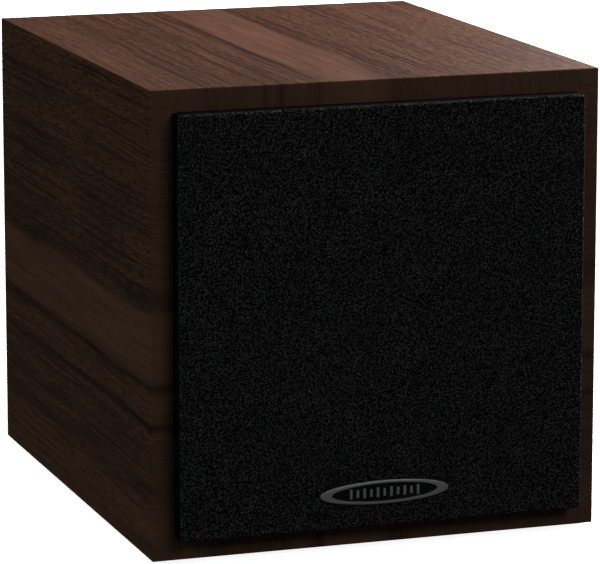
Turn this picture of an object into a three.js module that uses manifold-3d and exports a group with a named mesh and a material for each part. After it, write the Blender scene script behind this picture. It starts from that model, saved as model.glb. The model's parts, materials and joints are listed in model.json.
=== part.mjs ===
// A small powered bookshelf speaker: a mitred cube cabinet with one full-range driver behind a
// push-fit cloth grille, and an amplifier plate let into the back.
//
// Millimetres. X runs to the right, Y to the back and Z up. The origin is on the floor under the
// middle of the cabinet, and the object reaches equally far in front of the cabinet and behind it.

import * as THREE from 'three';
import { mergeVertices } from 'three/addons/utils/BufferGeometryUtils.js';
import Module from 'manifold-3d';

const wasm = await Module();
wasm.setup();

// ---------------------------------------------------------------- driving dimensions

const CABINET_FACE = 172; // the front is a square
const CABINET_DEPTH = 205;
const PANEL_THICKNESS = 12;
const FOOT_HEIGHT = 2;
const BAFFLE_THICKNESS = 15;
const REAR_RECESS = 4; // from the cabinet's back edges to the amplifier plate
const STAND_PROUD = 9; // how far the badge, and the heatsink's fins, stand proud of the cabinet

const GRILLE_THICKNESS = 8;
const GRILLE_MARGIN = 8.2; // of cabinet edge left showing round the grille

const FLANGE_RADIUS = 66.5; // the driver's outer edge
const CONE_RADIUS = 43;
const COIL_RADIUS = 12.7;
const FLANGE_DEPTH = 5.7; // from the front of the baffle back to the flange
const CONE_HEIGHT = 18;

const PLATE_SIZE = 146; // the amplifier plate is a square
const PLATE_THICKNESS = 2.5;

const GLUE_GAP = 0.1; // between pieces that are glued or screwed together
const SLIP_GAP = 0.3; // round pieces that slide, turn or drop into a hole

// Facets round a full turn.
const FINE = 48;
const MEDIUM = 36;
const COARSE = 20;
const SMALL = 10;

// ---------------------------------------------------------------- dimensions that follow

const HALF_FACE = CABINET_FACE / 2;
const HALF_DEPTH = CABINET_DEPTH / 2;
const CENTRE_HEIGHT = FOOT_HEIGHT + HALF_FACE;
const INNER_HALF = HALF_FACE - PANEL_THICKNESS;
const BOARD_HALF = INNER_HALF - SLIP_GAP; // of the baffle and the rear panel
const CORNER_FIXING = 66; // grille pegs and plate screws, from the middle along X and Z
const CORNERS = [[1, 1], [-1, 1], [-1, -1], [1, -1]];

// ---------------------------------------------------------------- finishes

const FINISH = {
  walnut: { color: 0x4b3327, roughness: 0.5, metalness: 0 },
  blackBoard: { color: 0x141414, roughness: 0.8, metalness: 0 },
  grilleCloth: { color: 0x0d0d0d, roughness: 0.95, metalness: 0 },
  satinMetal: { color: 0x6e6e6e, roughness: 0.35, metalness: 0.9 },
  glossBlack: { color: 0x0a0a0a, roughness: 0.2, metalness: 0 },
  blackPlastic: { color: 0x18181a, roughness: 0.55, metalness: 0 },
  rubber: { color: 0x1c1c1c, roughness: 0.9, metalness: 0 },
  foam: { color: 0x2b2b2b, roughness: 1, metalness: 0 },
  paper: { color: 0x1d1c1b, roughness: 0.85, metalness: 0 },
  blackSteel: { color: 0x1b1b1c, roughness: 0.45, metalness: 0.6 },
  zincSteel: { color: 0xa7a9ab, roughness: 0.35, metalness: 0.9 },
  anodised: { color: 0x202123, roughness: 0.4, metalness: 0.8 },
  ferrite: { color: 0x37373a, roughness: 0.7, metalness: 0.1 },
  copper: { color: 0xa5582c, roughness: 0.35, metalness: 0.9 },
  spiderCloth: { color: 0xb48a4a, roughness: 0.95, metalness: 0 },
  wadding: { color: 0xe6e3da, roughness: 1, metalness: 0 },
  phenolic: { color: 0x6b4424, roughness: 0.6, metalness: 0 },
  redLead: { color: 0xa51d18, roughness: 0.5, metalness: 0 },
  blackLead: { color: 0x151515, roughness: 0.5, metalness: 0 },
  circuitBoard: { color: 0x1f5a35, roughness: 0.5, metalness: 0 },
  windingTape: { color: 0xc9a227, roughness: 0.5, metalness: 0 },
  sleeve: { color: 0x1a2240, roughness: 0.35, metalness: 0 },
  lens: { color: 0x2f6fd0, roughness: 0.1, metalness: 0 },
};

// ---------------------------------------------------------------- shaping tools

// A closed geometry as a solid that can be joined and cut.
function solidOf(geometry) {
  const bare = geometry.clone();
  bare.deleteAttribute('normal');
  bare.deleteAttribute('uv');
  const merged = mergeVertices(bare);
  return new wasm.Manifold(new wasm.Mesh({
    numProp: 3,
    vertProperties: Float32Array.from(merged.attributes.position.array),
    triVerts: Uint32Array.from(merged.index.array),
  }));
}

function geometryOf(solid) {
  const mesh = solid.getMesh();
  const geometry = new THREE.BufferGeometry();
  geometry.setAttribute('position', new THREE.BufferAttribute(mesh.vertProperties, 3));
  geometry.setIndex(new THREE.BufferAttribute(mesh.triVerts, 1));
  geometry.computeVertexNormals();
  return geometry;
}

function join(first, ...others) {
  return geometryOf(others.reduce((sum, other) => sum.add(solidOf(other)), solidOf(first)));
}

function cut(body, ...tools) {
  return geometryOf(tools.reduce((rest, tool) => rest.subtract(solidOf(tool)), solidOf(body)));
}

// A box between two limits along each axis.
function block([x0, x1], [y0, y1], [z0, z1]) {
  const geometry = new THREE.BoxGeometry(x1 - x0, y1 - y0, z1 - z0);
  return geometry.translate((x0 + x1) / 2, (y0 + y1) / 2, (z0 + z1) / 2);
}

// The two limits of a span, from its middle and its length.
function span(middle, length) {
  return [middle - length / 2, middle + length / 2];
}

// A flat outline in X and Z, thickened along Y from the front limit to the back one.
function plate(shape, [front, back], steps = COARSE) {
  const geometry = new THREE.ExtrudeGeometry(shape, {
    depth: back - front,
    bevelEnabled: false,
    curveSegments: steps / 2,
  });
  return geometry.rotateX(Math.PI / 2).translate(0, back, 0);
}

// A solid of revolution about Y. The outline is [radius, y] points: it starts and ends on the axis,
// or it closes on itself as a ring.
function turned(outline, steps = MEDIUM) {
  const points = outline.map(([radius, y]) => new THREE.Vector2(radius, y));
  if (THREE.ShapeUtils.area(points) < 0) {
    points.reverse();
  }
  const onAxis = points.some((point) => point.x === 0);
  if (!onAxis) {
    points.push(points[0].clone());
  }
  while (onAxis && (points[0].x !== 0 || points.at(-1).x !== 0)) {
    points.push(points.shift());
  }
  return new THREE.LatheGeometry(points, steps);
}

function ring(inner, outer, [front, back], steps = MEDIUM) {
  return turned([[inner, front], [outer, front], [outer, back], [inner, back]], steps);
}

// A round rod along Y, centred on x and z.
function rod(radius, [front, back], [x, z] = [0, 0], steps = SMALL) {
  return turned([[0, front], [radius, front], [radius, back], [0, back]], steps).translate(x, 0, z);
}

function polygon(points) {
  return new THREE.Shape(points.map(([x, z]) => new THREE.Vector2(x, z)));
}

// A rectangle with rounded corners, centred on x and z.
function roundedRectangle(width, height, radius, [x, z] = [0, 0]) {
  const right = width / 2 - radius;
  const top = height / 2 - radius;
  const quarter = Math.PI / 2;
  const shape = new THREE.Shape();
  [[right, top], [-right, top], [-right, -top], [right, -top]].forEach(([dx, dz], index) => {
    shape.absarc(x + dx, z + dz, radius, index * quarter, (index + 1) * quarter);
  });
  return shape;
}

function oval(width, height, [x, z] = [0, 0]) {
  return new THREE.Shape().absellipse(x, z, width / 2, height / 2, 0, 2 * Math.PI);
}

// A round cable of constant thickness along a smooth route.
function cable(points, radius, steps) {
  const route = new THREE.CatmullRomCurve3(points.map((point) => new THREE.Vector3(...point)));
  const section = new THREE.Shape().absarc(0, 0, radius, 0, 2 * Math.PI);
  return new THREE.ExtrudeGeometry(section, { steps, curveSegments: 4, extrudePath: route });
}

function piece(name, geometry, finish) {
  const mesh = new THREE.Mesh(geometry, new THREE.MeshStandardMaterial(finish));
  mesh.name = name;
  return mesh;
}

function group(pieces, y = 0, z = 0) {
  const made = new THREE.Group();
  made.add(...pieces);
  made.position.set(0, y, z);
  return made;
}

// One piece at each of the four corner fixings, numbered from the upper right.
function atCorners(name, geometry, finish, [across, up]) {
  return CORNERS.map(([x, z], index) => {
    const copy = piece(`${name}_${index + 1}`, geometry, finish);
    copy.position.set(x * across, 0, z * up);
    return copy;
  });
}

// A round-headed screw driven towards -Y, or towards +Y when it faces the front.
function screw(headRadius, shankRadius, length) {
  const headHeight = headRadius * 0.65;
  return turned([
    [0, headHeight],
    [headRadius * 0.6, headHeight * 0.85],
    [headRadius * 0.93, headHeight * 0.4],
    [headRadius, 0],
    [shankRadius, 0],
    [shankRadius, shankRadius - length],
    [0, -length],
  ], SMALL);
}

// ---------------------------------------------------------------- cabinet

// The four sides are one mitred board, turned a quarter turn for each side.
function cabinetPanels() {
  const section = polygon([
    [-HALF_FACE, HALF_FACE],
    [HALF_FACE, HALF_FACE],
    [INNER_HALF, INNER_HALF],
    [-INNER_HALF, INNER_HALF],
  ]);
  const board = plate(section, [-HALF_DEPTH, HALF_DEPTH]);
  return ['top', 'right', 'bottom', 'left'].map((side, quarter) => {
    const panel = piece(`cabinet_${side}_panel`, board, FINISH.walnut);
    panel.rotation.y = quarter * Math.PI / 2;
    return panel;
  });
}

// Low rubber pads under the bottom panel, well inside its edges.
function rubberFeet() {
  const radius = 7;
  const chamfer = 0.8;
  const inset = 20;
  const across = HALF_FACE - inset;
  const along = HALF_DEPTH - inset;
  const pad = turned([
    [0, 0],
    [radius - chamfer, 0],
    [radius, chamfer],
    [radius, FOOT_HEIGHT],
    [0, FOOT_HEIGHT],
  ], COARSE);
  pad.rotateX(Math.PI / 2);
  return CORNERS.map(([x, y], index) => {
    const foot = piece(`rubber_foot_${index + 1}`, pad, FINISH.rubber);
    foot.position.set(x * across, y * along, 0);
    return foot;
  });
}

// Fibre wadding that lines the inside of both sides and the top.
function dampingWadding() {
  const thickness = 14;
  const outer = INNER_HALF - 0.5;
  const inner = outer - thickness;
  const foot = -50; // the lining stops short of the bottom panel
  const depths = [-80, 60]; // from behind the baffle to just before the rear panel
  const section = polygon([
    [-outer, foot],
    [-inner, foot],
    [-inner, inner],
    [inner, inner],
    [inner, foot],
    [outer, foot],
    [outer, outer],
    [-outer, outer],
  ]);
  return piece('damping_wadding', plate(section, depths), FINISH.wadding);
}

// ---------------------------------------------------------------- driver

// Depths are measured back from the front of the baffle, radii from the middle of the driver.

const DRIVER = {
  steel: 1.5, // sheet thickness of the basket
  rebateDepth: 8,
  cutoutRadius: 57.5,
  lipRadius: 52.5, // inner edge of the flange
  screwCircle: 63.2,
  ledgeDepth: 29, // where the spider is glued
  ledgeRadius: 39.5,
  throatRadius: 33.5,
  floorDepth: 41,
  floorHole: 20,
  magnetRadius: 40,
  coneLip: 2.5, // flat rim of the cone, behind the surround
};
DRIVER.coneNeck = COIL_RADIUS + SLIP_GAP;
DRIVER.lipDepth = FLANGE_DEPTH - GLUE_GAP; // back of the surround's two lips

const DRIVER_SCREW = { headRadius: 2.9, shankRadius: 1.4, length: 8 };

// Four places on a circle at 45 degrees to the cabinet's edges.
function diagonally(radius) {
  return CORNERS.map(([x, z]) => [x * radius * Math.SQRT1_2, z * radius * Math.SQRT1_2]);
}

function driverBasket() {
  const flangeBack = FLANGE_DEPTH + DRIVER.steel;
  const ledgeBack = DRIVER.ledgeDepth + DRIVER.steel;
  const floorBack = DRIVER.floorDepth + DRIVER.steel;
  const bowl = turned([
    [FLANGE_RADIUS, FLANGE_DEPTH],
    [FLANGE_RADIUS, flangeBack],
    [DRIVER.lipRadius + 3.5, flangeBack],
    [DRIVER.ledgeRadius + DRIVER.steel, ledgeBack],
    [DRIVER.throatRadius + DRIVER.steel, ledgeBack],
    [DRIVER.throatRadius + DRIVER.steel, floorBack],
    [DRIVER.floorHole, floorBack],
    [DRIVER.floorHole, DRIVER.floorDepth],
    [DRIVER.throatRadius, DRIVER.floorDepth],
    [DRIVER.throatRadius, DRIVER.ledgeDepth],
    [DRIVER.ledgeRadius, DRIVER.ledgeDepth],
    [DRIVER.lipRadius, FLANGE_DEPTH],
  ]);
  const windowWidth = 42;
  const windowDepth = [flangeBack + 3, DRIVER.ledgeDepth - 2.5];
  const window = block([0, FLANGE_RADIUS], windowDepth, span(0, windowWidth));
  const windows = [0, 1, 2, 3].map((quarter) => window.clone().rotateY(quarter * Math.PI / 2));
  const screwHoles = diagonally(DRIVER.screwCircle).map((place) => {
    return rod(DRIVER_SCREW.shankRadius + 0.5, [FLANGE_DEPTH - 1, flangeBack + 1], place);
  });
  return piece('driver_basket', cut(bowl, ...windows, ...screwHoles), FINISH.blackSteel);
}

// How far back the front of the cone is, at a radius: a slightly flared cone.
function coneDepth(radius) {
  const rim = CONE_RADIUS - DRIVER.coneLip;
  const share = Math.max(0, (rim - radius) / (rim - DRIVER.coneNeck));
  return FLANGE_DEPTH + CONE_HEIGHT * share ** 1.15;
}

function speakerCone() {
  const paper = 0.9; // thickness, measured along Y
  const radii = [CONE_RADIUS, CONE_RADIUS - DRIVER.coneLip, 33, 26, 19, DRIVER.coneNeck];
  const front = radii.map((radius) => [radius, coneDepth(radius)]);
  const back = front.map(([radius, depth]) => [radius, depth + paper]).reverse();
  return piece('speaker_cone', turned([...front, ...back]), FINISH.paper);
}

// A half-roll of rubber from the cone's rim to the flange, with a flat lip glued to each.
function coneSurround() {
  const rubber = 0.6;
  const lipInner = CONE_RADIUS - DRIVER.coneLip + GLUE_GAP;
  const lipOuter = FLANGE_RADIUS - 8;
  const rollInner = CONE_RADIUS;
  const rollOuter = DRIVER.lipRadius - 0.5;
  const middle = (rollInner + rollOuter) / 2;
  const radius = (rollOuter - rollInner) / 2;
  const back = DRIVER.lipDepth;
  const front = back - rubber;
  const facets = 5;
  const roll = (size, depth) => Array.from({ length: facets + 1 }, (_, index) => {
    const angle = Math.PI * index / facets;
    return [middle - size * Math.cos(angle), depth - size * Math.sin(angle)];
  });
  return piece('cone_surround', turned([
    [lipInner, front],
    ...roll(radius, front),
    [lipOuter, front],
    [lipOuter, back],
    ...roll(radius - rubber, back).reverse(),
    [lipInner, back],
  ]), FINISH.rubber);
}

// A shallow dome glued over the middle of the cone.
function dustCap() {
  const edge = 16;
  const rise = 6;
  const paper = 0.6;
  const sphere = (edge ** 2 + rise ** 2) / (2 * rise);
  const seat = coneDepth(edge) - 0.2;
  const facets = 4;
  const dome = (size) => Array.from({ length: facets + 1 }, (_, index) => {
    const radius = edge * (size / sphere) * index / facets;
    return [radius, seat + sphere - rise - Math.sqrt(size ** 2 - radius ** 2)];
  });
  const back = dome(sphere - paper);
  return piece('dust_cap', turned([...dome(sphere), ...back.reverse()], COARSE), FINISH.paper);
}

// The coil is wound on a thin sleeve that hangs from the cone's neck into the magnet's gap.
function voiceCoil() {
  const sleeve = COIL_RADIUS - GLUE_GAP;
  const sleeveDepths = [FLANGE_DEPTH + CONE_HEIGHT - 1.2, 52];
  const windingDepths = [40, 51.5];
  const former = ring(sleeve - 0.5, sleeve, sleeveDepths, COARSE);
  const winding = ring(COIL_RADIUS, COIL_RADIUS + 0.6, windingDepths, COARSE);
  return [
    piece('voice_coil_former', former, FINISH.phenolic),
    piece('voice_coil', winding, FINISH.copper),
  ];
}

// A corrugated disc that centres the coil.
function spider() {
  const cloth = 0.5;
  const rise = 1;
  const flat = DRIVER.ledgeDepth - GLUE_GAP - cloth;
  const folds = [15, 18, 21, 24, 27, 30, 33];
  const front = [
    [COIL_RADIUS + 0.2, flat],
    ...folds.map((radius, index) => [radius, flat + (index % 2 ? rise : -rise)]),
    [DRIVER.throatRadius + 0.6, flat],
    [DRIVER.ledgeRadius - 0.6, flat],
  ];
  const back = front.map(([radius, depth]) => [radius, depth + cloth]).reverse();
  return piece('spider', turned([...front, ...back], COARSE), FINISH.spiderCloth);
}

// A ring magnet between a washer and a yoke, whose pole fills the coil, in a shielding can.
function magnetSystem() {
  const plateThickness = 5;
  const magnetThickness = 15;
  const plateFront = DRIVER.floorDepth + DRIVER.steel + SLIP_GAP;
  const magnetFront = plateFront + plateThickness + SLIP_GAP;
  const yokeFront = magnetFront + magnetThickness + SLIP_GAP;
  const yokeBack = yokeFront + plateThickness;
  const pole = COIL_RADIUS - 1;
  const yoke = [
    [0, plateFront - 1],
    [pole, plateFront - 1],
    [pole, yokeFront],
    [DRIVER.magnetRadius - 1, yokeFront],
    [DRIVER.magnetRadius - 1, yokeBack],
    [0, yokeBack],
  ];
  const canInner = DRIVER.magnetRadius + 0.7;
  const canOuter = canInner + 1.2;
  const can = [
    [0, yokeBack + 0.4],
    [canInner, yokeBack + 0.4],
    [canInner, plateFront + 1],
    [canOuter, plateFront + 1],
    [canOuter, yokeBack + 1.6],
    [0, yokeBack + 1.6],
  ];
  const washerDepths = [plateFront, plateFront + plateThickness];
  const magnetDepths = [magnetFront, magnetFront + magnetThickness];
  const washer = ring(COIL_RADIUS + 1.3, DRIVER.magnetRadius, washerDepths, COARSE);
  const magnet = ring(COIL_RADIUS + 4.3, DRIVER.magnetRadius, magnetDepths, COARSE);
  return [
    piece('magnet_top_plate', washer, FINISH.zincSteel),
    piece('magnet_ring', magnet, FINISH.ferrite),
    piece('magnet_yoke', turned(yoke, COARSE), FINISH.zincSteel),
    piece('magnet_shield_can', turned(can, COARSE), FINISH.zincSteel),
  ];
}

// A small board riveted to the back of the basket's ledge, with a solder lug for each lead.
const TERMINAL = {
  width: 18,
  top: -36.5, // heights from the middle of the driver
  bottom: -51,
  lugEnd: -56,
  lugSpacing: 10,
  lugWidth: 3,
  front: DRIVER.ledgeDepth + DRIVER.steel + SLIP_GAP,
  thickness: 1.6,
};

function terminalStrip() {
  const depths = [TERMINAL.front, TERMINAL.front + TERMINAL.thickness];
  const board = block(span(0, TERMINAL.width), depths, [TERMINAL.bottom, TERMINAL.top]);
  const lugs = [-1, 1].map((side) => {
    const across = span(side * TERMINAL.lugSpacing / 2, TERMINAL.lugWidth);
    return block(across, depths, [TERMINAL.lugEnd, TERMINAL.bottom + 1]);
  });
  return piece('terminal_strip', join(board, ...lugs), FINISH.phenolic);
}

function driver() {
  const gasketDepths = [DRIVER.lipDepth - 2, DRIVER.lipDepth - 0.7];
  const gasket = ring(DRIVER.lipRadius + 0.5, FLANGE_RADIUS - 7, gasketDepths);
  const flangeBack = FLANGE_DEPTH + DRIVER.steel;
  const seal = ring(
    DRIVER.cutoutRadius + 0.3,
    DRIVER.cutoutRadius + 3,
    [flangeBack + GLUE_GAP, DRIVER.rebateDepth - GLUE_GAP],
  );
  const { headRadius, shankRadius, length } = DRIVER_SCREW;
  const screwReach = DRIVER.screwCircle * Math.SQRT1_2;
  const facingFront = screw(headRadius, shankRadius, length)
    .rotateX(Math.PI)
    .translate(0, FLANGE_DEPTH - GLUE_GAP, 0);
  return [
    driverBasket(),
    piece('driver_foam_seal', seal, FINISH.foam),
    piece('driver_gasket_ring', gasket, FINISH.foam),
    coneSurround(),
    speakerCone(),
    dustCap(),
    ...voiceCoil(),
    spider(),
    ...magnetSystem(),
    terminalStrip(),
    ...atCorners('driver_screw', facingFront, FINISH.blackSteel, [screwReach, screwReach]),
  ];
}

// ---------------------------------------------------------------- baffle and grille

const PEG = { radius: 3.5, length: 9.5 };
const SOCKET = { outer: 5.1, depth: 12 };
SOCKET.inner = PEG.radius + SLIP_GAP;

// The board that carries the driver, rebated for its flange and bored for the grille's sockets.
function frontBaffle() {
  const through = [-1, BAFFLE_THICKNESS + 1];
  const board = block(span(0, 2 * BOARD_HALF), [0, BAFFLE_THICKNESS], span(0, 2 * BOARD_HALF));
  const rebate = rod(FLANGE_RADIUS + 0.6, [-1, DRIVER.rebateDepth], [0, 0], FINE);
  const cutout = rod(DRIVER.cutoutRadius, through, [0, 0], FINE);
  const pilotHoles = diagonally(DRIVER.screwCircle).map((place) => {
    return rod(DRIVER_SCREW.shankRadius + SLIP_GAP, through, place);
  });
  const socketHoles = CORNERS.map(([x, z]) => {
    const place = [x * CORNER_FIXING, z * CORNER_FIXING];
    return rod(SOCKET.outer + SLIP_GAP, [-1, SOCKET.depth + SLIP_GAP], place, COARSE);
  });
  const bored = cut(board, rebate, cutout, ...pilotHoles, ...socketHoles);
  return piece('front_baffle', bored, FINISH.blackBoard);
}

// Rubber cups that grip the grille's pegs.
function grilleSockets() {
  const cup = turned([
    [0, SOCKET.depth],
    [SOCKET.outer, SOCKET.depth],
    [SOCKET.outer, 0],
    [SOCKET.inner, 0],
    [SOCKET.inner, PEG.length + 1],
    [0, PEG.length + 1],
  ], COARSE);
  return atCorners('grille_socket', cup, FINISH.rubber, [CORNER_FIXING, CORNER_FIXING]);
}

const CLOTH = { thickness: 0.7, edgeRadius: 1.5, cornerRadius: 2.5 };
const GRILLE_HALF = HALF_FACE - GRILLE_MARGIN;
const FRAME_HALF = GRILLE_HALF - CLOTH.thickness - SLIP_GAP / 2;
const FRAME_FRONT = CLOTH.thickness + GLUE_GAP - GRILLE_THICKNESS;

// Four bars with a block across each corner, and a peg on the back of each block.
function grilleFrame() {
  const half = FLANGE_RADIUS - 2.5; // of the opening between the bars
  const blockReach = 9; // how far each block runs along the bars
  const shape = roundedRectangle(2 * FRAME_HALF, 2 * FRAME_HALF, CLOTH.cornerRadius / 2);
  shape.holes.push(polygon(CORNERS.flatMap(([x, z], index) => {
    const corner = [[x * (half - blockReach), z * half], [x * half, z * (half - blockReach)]];
    return index % 2 ? corner : corner.reverse();
  })));
  const pegs = CORNERS.map(([x, z]) => {
    const place = [x * CORNER_FIXING, z * CORNER_FIXING];
    return rod(PEG.radius, [-GRILLE_THICKNESS / 2, PEG.length], place);
  });
  const bars = plate(shape, [FRAME_FRONT, -SLIP_GAP], SMALL);
  return piece('grille_frame', join(bars, ...pegs), FINISH.blackBoard);
}

// The cloth is drawn over the frame's front and sides.
function grilleCloth() {
  const { edgeRadius, cornerRadius, thickness } = CLOTH;
  const inset = 2 * (GRILLE_HALF - edgeRadius);
  const outer = new THREE.ExtrudeGeometry(roundedRectangle(inset, inset, cornerRadius - edgeRadius), {
    depth: GRILLE_THICKNESS,
    bevelSize: edgeRadius,
    bevelThickness: edgeRadius,
    bevelSegments: 2,
    curveSegments: 3,
  });
  outer.rotateX(Math.PI / 2).translate(0, edgeRadius, 0);
  const within = span(0, 2 * (GRILLE_HALF - thickness));
  const around = span(0, CABINET_FACE);
  const past = 10; // further back than the cloth reaches
  const hollow = block(within, [thickness - GRILLE_THICKNESS, past], within);
  const behind = block(around, [-SLIP_GAP, past], around);
  return piece('grille_cloth', cut(outer, hollow, behind), FINISH.grilleCloth);
}

// A flat oval ring with a black plate inside it, low in the middle of the grille.
function badge() {
  const place = [0, -64.8]; // from the middle of the front
  const back = -GRILLE_THICKNESS - GLUE_GAP;
  const inlayThickness = 0.5;
  const ringShape = oval(49.75, 8.75, place);
  ringShape.holes.push(oval(41, 6.9, place));
  const rim = plate(ringShape, [-STAND_PROUD, back], MEDIUM);
  const inlay = plate(oval(40.4, 6.3, place), [back - inlayThickness, back], MEDIUM);
  return [
    piece('badge_ring', rim, FINISH.satinMetal),
    piece('badge_inlay', inlay, FINISH.glossBlack),
  ];
}

// ---------------------------------------------------------------- amplifier

// Y is measured back from the cabinet's back edges, so what is inside has a negative y. Places on
// the plate are [x, z] from its middle.

const PLATE_FACE = -REAR_RECESS;
const PLATE_BACK = PLATE_FACE - PLATE_THICKNESS;
const SEAL_BACK = PLATE_BACK - 1;
const REAR_PANEL_FRONT = SEAL_BACK - GLUE_GAP - PANEL_THICKNESS;
const OPENING_HALF = 59; // of the hole in the rear panel
const ON_PLATE = PLATE_FACE + GLUE_GAP; // where what is screwed to the plate begins
const INSIDE = -40; // further in than any tool has to cut

const KNOB = { place: [46, -8], radius: 9, length: 12, shaftRadius: 3 };
const JACK = { place: [14, -8], bodyRadius: 11.5, boreRadius: 3.5, boreDepth: 23 };
const LATCH = { width: 8, height: 2.8, lift: 12.9, travel: 2 };
const LINE = { place: [-14, -8], radius: 4.4 };
const INLET = { place: [22, -42], body: [27.6, 28], socket: [24, 16], socketLift: 5, socketDepth: 15 };
const DRAWER = { width: 19.4, height: 6.4, drop: 8.5, length: 17.4 };
const SWITCH = {
  place: [-25, -42],
  body: [13.2, 19.2],
  hollow: [11.4, 17.4],
  pivotDepth: -7,
  tilt: 10,
};
const LIGHT = { place: [-48, -42], radius: 2.5 };
const PLATE_SCREW = { headRadius: 3.2, shankRadius: 1.4, length: 11 };

// A box given by its middle [x, z], its [width, height] and its limits along Y.
function stud([x, z], [width, height], depths) {
  return block(span(x, width), depths, span(z, height));
}

function widened([width, height], gap) {
  return [width + 2 * gap, height + 2 * gap];
}

function fixingHoles(radius, depths) {
  return CORNERS.map(([x, z]) => rod(radius, depths, [x * CORNER_FIXING, z * CORNER_FIXING]));
}

function rearPanel() {
  const depths = [REAR_PANEL_FRONT, SEAL_BACK - GLUE_GAP];
  const through = [depths[0] - 1, depths[1] + 1];
  const board = stud([0, 0], [2 * BOARD_HALF, 2 * BOARD_HALF], depths);
  const opening = stud([0, 0], [2 * OPENING_HALF, 2 * OPENING_HALF], through);
  const pilotHoles = fixingHoles(PLATE_SCREW.shankRadius + SLIP_GAP, through);
  return piece('rear_panel', cut(board, opening, ...pilotHoles), FINISH.blackBoard);
}

function plateGasket() {
  const depths = [SEAL_BACK, PLATE_BACK - GLUE_GAP];
  const through = [depths[0] - 1, depths[1] + 1];
  const inner = 2 * OPENING_HALF + 2;
  const sheet = stud([0, 0], [PLATE_SIZE, PLATE_SIZE], depths);
  const opening = stud([0, 0], [inner, inner], through);
  const holes = fixingHoles(PLATE_SCREW.shankRadius + 0.6, through);
  return piece('amp_plate_gasket', cut(sheet, opening, ...holes), FINISH.foam);
}

function latchPlace() {
  return [JACK.place[0], JACK.place[1] + LATCH.lift];
}

function drawerPlace() {
  return [INLET.place[0], INLET.place[1] - DRAWER.drop];
}

function ampPlate() {
  const through = [PLATE_BACK - 1, PLATE_FACE + 1];
  const sheet = plate(roundedRectangle(PLATE_SIZE, PLATE_SIZE, 3), [PLATE_BACK, PLATE_FACE], SMALL);
  const holes = [
    ...fixingHoles(PLATE_SCREW.shankRadius + 0.6, through),
    rod(KNOB.shaftRadius + 1.2, through, KNOB.place),
    rod(JACK.bodyRadius + 0.4, through, JACK.place, COARSE),
    stud(latchPlace(), widened([LATCH.width, LATCH.height], 0.6), through),
    rod(LINE.radius + SLIP_GAP, through, LINE.place, COARSE),
    stud(INLET.place, widened(INLET.body, SLIP_GAP), through),
    stud(SWITCH.place, widened(SWITCH.body, SLIP_GAP), through),
    rod(LIGHT.radius + SLIP_GAP, through, LIGHT.place, COARSE),
  ];
  return piece('amp_plate', cut(sheet, ...holes), FINISH.anodised);
}

// A comb of upright fins on a base, cut from one extrusion.
function heatsink() {
  const width = 96;
  const [low, high] = [13, 57];
  const fins = 12;
  const finThickness = 2.2;
  const base = ON_PLATE + 3;
  const pitch = (width - finThickness) / (fins - 1);
  const comb = new THREE.Shape();
  comb.moveTo(-width / 2, ON_PLATE);
  for (let fin = 0; fin < fins; fin += 1) {
    const left = -width / 2 + fin * pitch;
    comb.lineTo(left, fin ? base : STAND_PROUD);
    comb.lineTo(left, STAND_PROUD);
    comb.lineTo(left + finThickness, STAND_PROUD);
    comb.lineTo(left + finThickness, fin < fins - 1 ? base : STAND_PROUD);
  }
  comb.lineTo(width / 2, ON_PLATE);
  const extrusion = new THREE.ExtrudeGeometry(comb, { depth: high - low, bevelEnabled: false });
  return piece('heatsink', extrusion.translate(0, 0, low), FINISH.anodised);
}

// A fluted knob with a skirt and a pointer groove, pushed onto the shaft of the volume control.
function volumeKnob() {
  const back = ON_PLATE + 0.4;
  const front = back + KNOB.length;
  const flutes = 18;
  const grip = new THREE.Shape(Array.from({ length: flutes * 3 }, (_, index) => {
    const angle = 2 * Math.PI * index / (flutes * 3);
    const radius = KNOB.radius - (index % 3 ? 0.8 : 1.4);
    return new THREE.Vector2(radius * Math.cos(angle), radius * Math.sin(angle));
  }));
  const body = join(
    plate(grip, [back, front]),
    rod(KNOB.radius, [back, back + 2.5], [0, 0], COARSE),
  );
  const knob = piece('volume_knob', cut(
    body,
    rod(KNOB.shaftRadius + SLIP_GAP, [back - 1, back + 9], [0, 0], COARSE),
    stud([0, 5.5], [1.2, 9], [front - 0.8, front + 1]),
  ), FINISH.blackPlastic);
  knob.position.set(KNOB.place[0], 0, KNOB.place[1]);
  return knob;
}

function volumePot() {
  const shaftEnd = ON_PLATE + 8.5;
  return piece('volume_pot', join(
    stud(KNOB.place, [17, 17], [PLATE_BACK - 9, PLATE_BACK - SLIP_GAP]),
    rod(KNOB.shaftRadius + 0.8, [PLATE_BACK - 5, PLATE_FACE - GLUE_GAP], KNOB.place, COARSE),
    rod(KNOB.shaftRadius, [PLATE_BACK - 5, shaftEnd], KNOB.place, COARSE),
  ), FINISH.zincSteel);
}

// A jack that takes a three-pin or a 6.3 mm plug, with the slot for its latch tab.
function comboJack() {
  const rim = ON_PLATE + 3;
  const dish = ON_PLATE + 2.2;
  const shell = turned([
    [0, rim - JACK.boreDepth - 4],
    [JACK.bodyRadius, rim - JACK.boreDepth - 4],
    [JACK.bodyRadius, rim],
    [JACK.bodyRadius - 1.2, rim],
    [JACK.bodyRadius - 1.8, dish],
    [0, dish],
  ], COARSE).translate(JACK.place[0], 0, JACK.place[1]);
  const flangeShape = roundedRectangle(26, 31, 2, JACK.place);
  const flange = plate(flangeShape, [ON_PLATE, ON_PLATE + 1.8], SMALL);
  const bore = rod(JACK.boreRadius, [rim - JACK.boreDepth, rim + 1], JACK.place, COARSE);
  const slot = stud(latchPlace(), widened([LATCH.width, LATCH.height], SLIP_GAP), [INSIDE, 1]);
  return piece('combo_jack', cut(join(shell, flange), bore, slot), FINISH.blackPlastic);
}

function jackLatchTab() {
  const front = ON_PLATE + 1.8 + LATCH.travel;
  const size = [LATCH.width, LATCH.height];
  return piece('jack_latch_tab', stud(latchPlace(), size, [PLATE_BACK - 4, front]), FINISH.satinMetal);
}

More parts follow.
